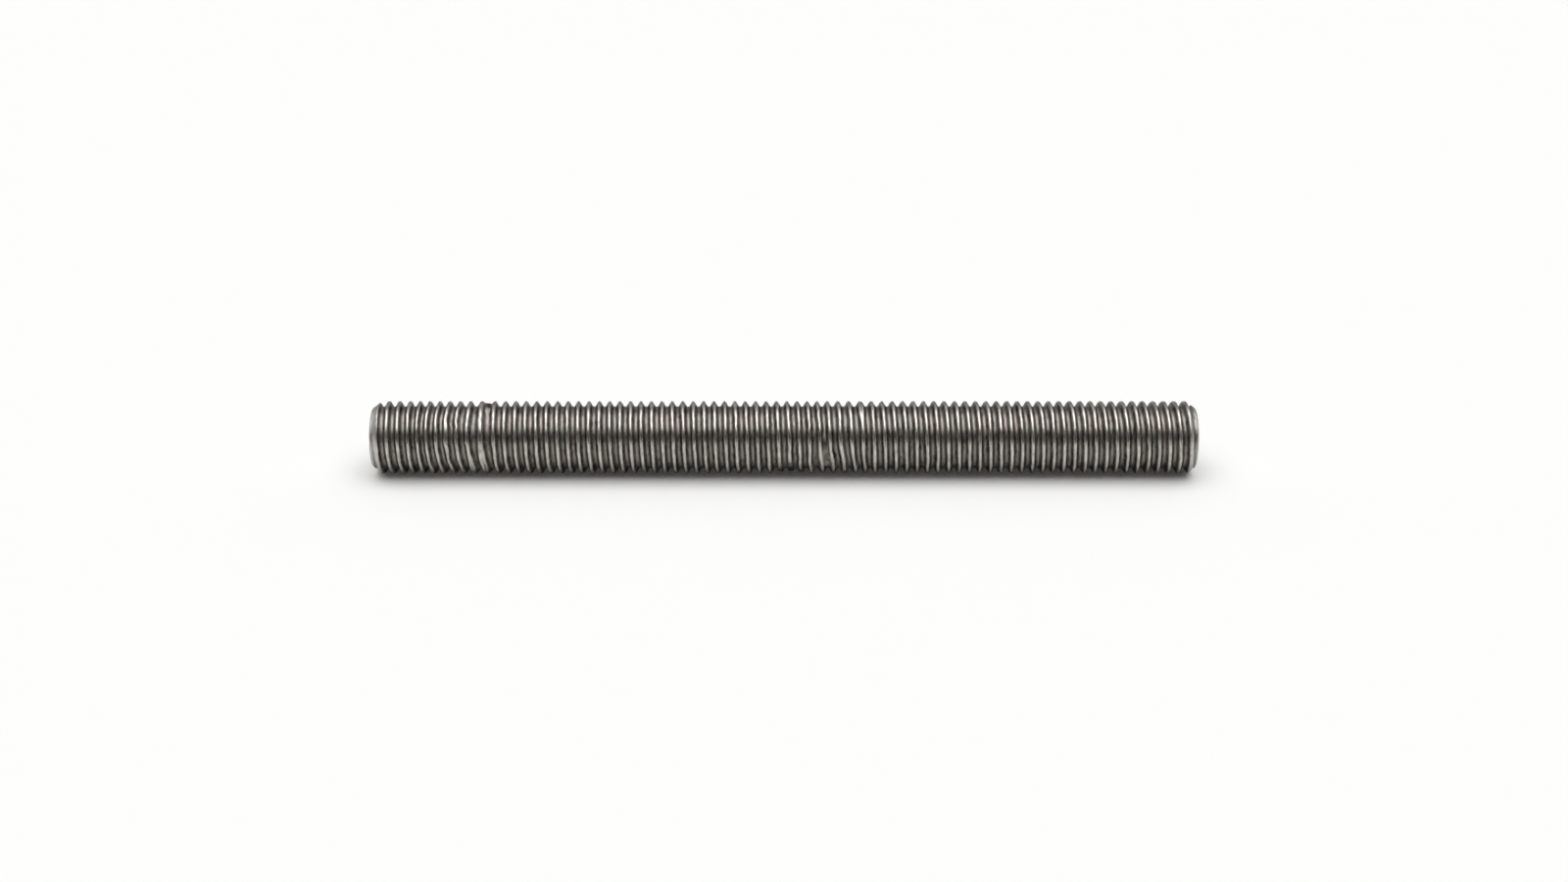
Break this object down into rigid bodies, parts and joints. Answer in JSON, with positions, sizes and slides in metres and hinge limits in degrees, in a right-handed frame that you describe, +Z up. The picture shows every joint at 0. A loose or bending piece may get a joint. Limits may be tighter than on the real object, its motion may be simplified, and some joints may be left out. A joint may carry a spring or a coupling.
{
  "type": "threaded rod",
  "caption": "Straight steel rod with a coarse right-hand metric screw thread along its whole length and a chamfer at each square-cut end.",
  "frame": {"origin": "on the surface that the rod lies on, under the middle of its length", "axes": "+X along the rod's axis, +Z up, the rod lying on its side as it rests on a bench"},
  "size_m": [0.1574, 0.014, 0.0138],
  "materials": {
    "plain_steel": "bare rolled steel, satin, lightly worn, with oil-dark residue in the roots"
  },
  "bodies": {
    "root": {"threaded_rod": "plain_steel"}
  },
  "joints": []
}
